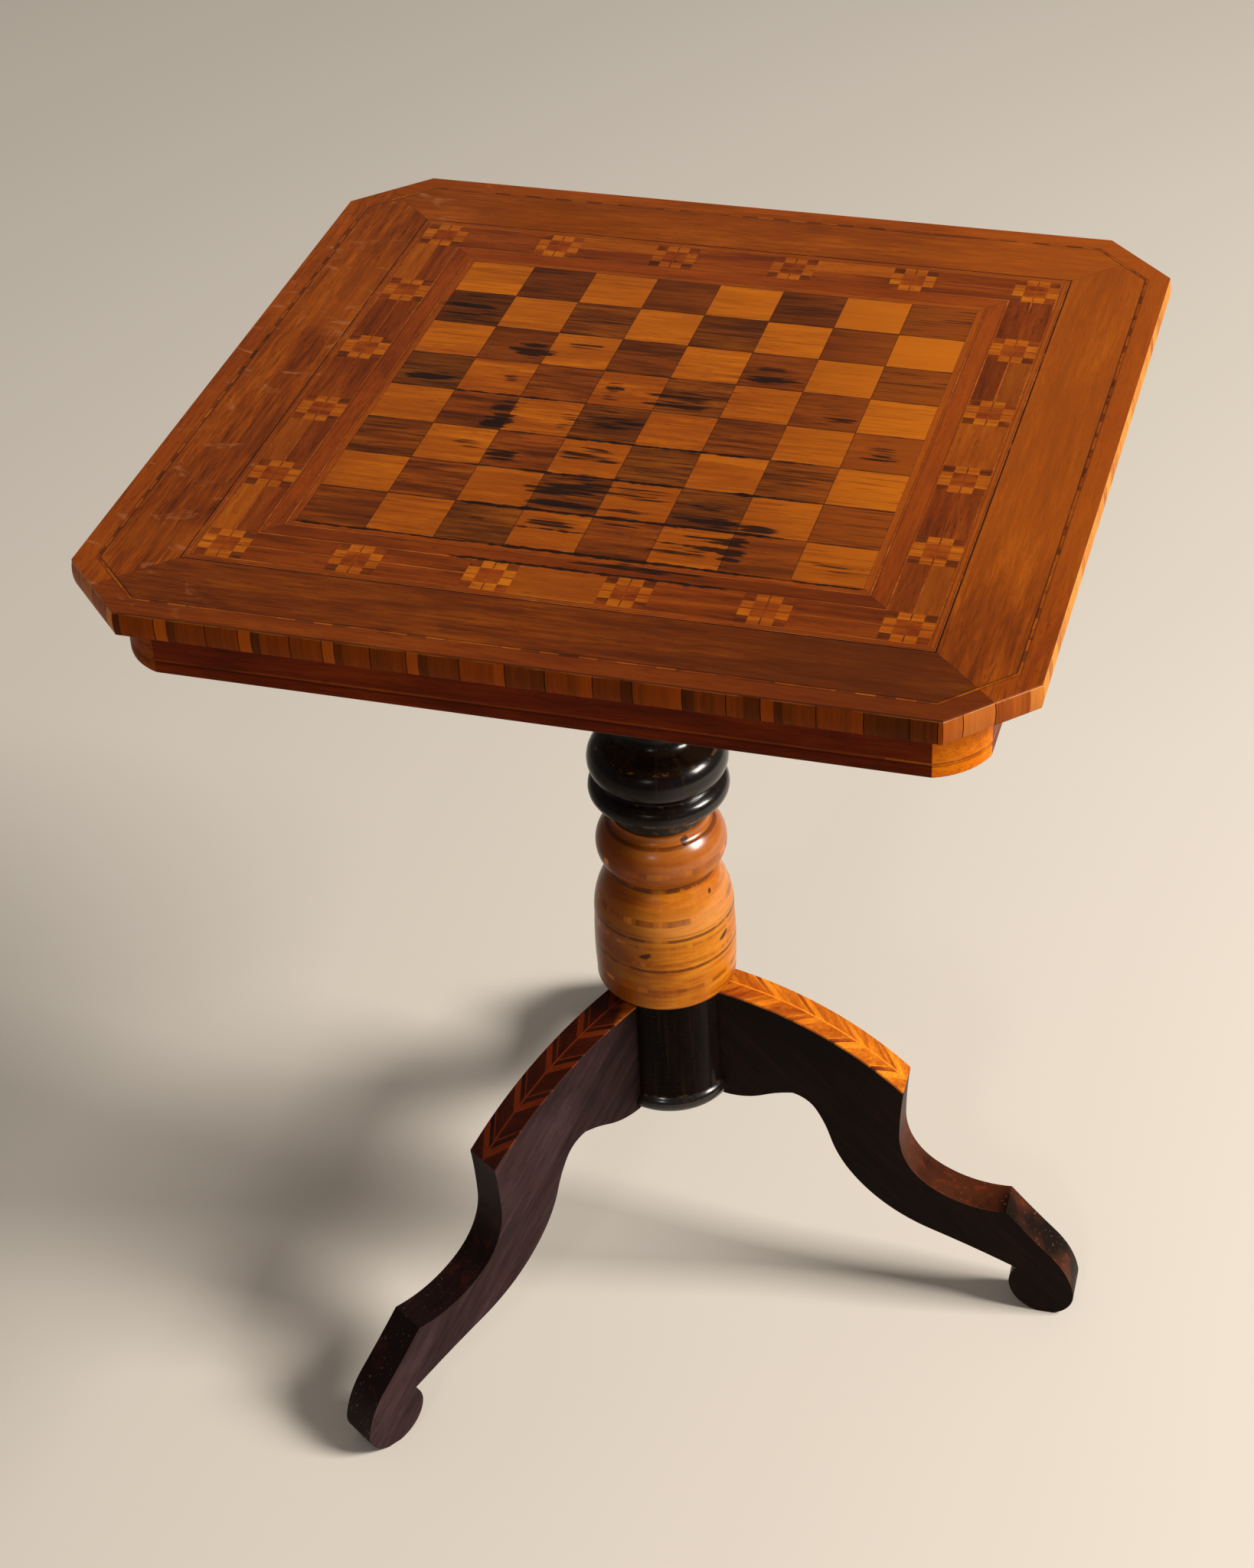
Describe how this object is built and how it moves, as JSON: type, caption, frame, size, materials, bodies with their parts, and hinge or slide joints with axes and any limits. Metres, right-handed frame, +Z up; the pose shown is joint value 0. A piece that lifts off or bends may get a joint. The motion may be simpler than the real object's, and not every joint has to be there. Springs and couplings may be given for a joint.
{
  "type": "pedestal game table",
  "caption": "Tilt-top games table: inlaid board with canted corners and a chess field, apron, turned column, scrolled tripod legs with inlaid knees and a sliding catch.",
  "frame": {"origin": "on the floor under the middle of the board, the table standing on its feet", "axes": "+Z up, +X towards the catch and the right-hand foot, +Y to the back of the board"},
  "size_m": [0.5682, 0.552, 0.708],
  "materials": {
    "core_wood": "plain sawn softwood",
    "edge_wood": "polished cross-grained walnut",
    "light_squares": "polished olive veneer",
    "dark_squares": "polished dark walnut veneer",
    "red_veneer": "polished red-brown veneer",
    "light_line": "polished pale stringing",
    "motif_light": "polished pale veneer",
    "motif_red": "polished red veneer",
    "motif_dark": "polished dark veneer",
    "panel_dark": "polished dark brown veneer",
    "panel_brown": "polished mid brown veneer",
    "apron_wood": "polished red-brown veneer",
    "bearer_wood": "waxed walnut",
    "black_wood": "glossy ebonised wood with wear",
    "amber_wood": "glossy olive wood",
    "knee_orange": "polished orange-brown veneer",
    "brass": "aged brass",
    "steel": "dull screw steel"
  },
  "bodies": {
    "stand": {"column_upper": "black_wood", "column_vase": "amber_wood", "column_stem": "black_wood", "base_cap": "black_wood", "base_cap_screw": "steel", "tenon_wedge": "core_wood", "leg_right": "black_wood", "leg_back": "black_wood", "leg_left": "black_wood", "knee_panels": "knee_orange", "knee_slips_light": "light_line", "knee_slips_dark": "motif_dark", "knee_lines": "light_line", "pivot_block": "bearer_wood", "pivot_screws": "steel", "keep_plate": "brass", "keep_screws": "brass"},
    "top": {"board_core": "core_wood", "edge_front": "edge_wood", "edge_cants": "edge_wood", "edge_right": "edge_wood", "edge_back": "edge_wood", "edge_left": "edge_wood", "chess_squares_light": "light_squares", "chess_squares_dark": "dark_squares", "field_strip": "red_veneer", "inner_line": "light_line", "inner_border": "red_veneer", "middle_line": "light_line", "motif_squares_light": "motif_light", "motif_squares_red": "motif_red", "motif_squares_dark": "motif_dark", "motif_crosses": "light_line", "band_panels_inner": "panel_dark", "band_panels_outer": "panel_brown", "band_lines": "light_line", "outer_line": "light_line", "outer_strip": "red_veneer", "field_line": "light_line", "field_veneers": "red_veneer", "margin_veneers": "red_veneer", "dashes_light": "light_line", "dashes_dark": "motif_dark", "apron_front": "apron_wood", "apron_right": "apron_wood", "apron_back": "apron_wood", "apron_left": "apron_wood", "apron_corners": "apron_wood", "apron_line": "light_line", "glue_blocks": "core_wood", "bearer_front": "bearer_wood", "bearer_back": "bearer_wood", "bearer_screws": "steel", "catch_pad": "bearer_wood", "catch_plate": "brass", "catch_plate_screws": "brass", "catch_guides": "brass"},
    "catch": {"catch_bolt": "brass", "catch_knob": "brass"}
  },
  "joints": [
    {"name": "top_tilt", "type": "hinge", "parent": "stand", "child": "top", "pos_m": [-0.0599, -0.0018, 0.672], "axis": [0, -1, 0], "range_deg": [0, 90]},
    {"name": "catch_slide", "type": "slide", "parent": "top", "child": "catch", "axis": [-1, 0, 0], "range_m": [0, 0.011]}
  ]
}
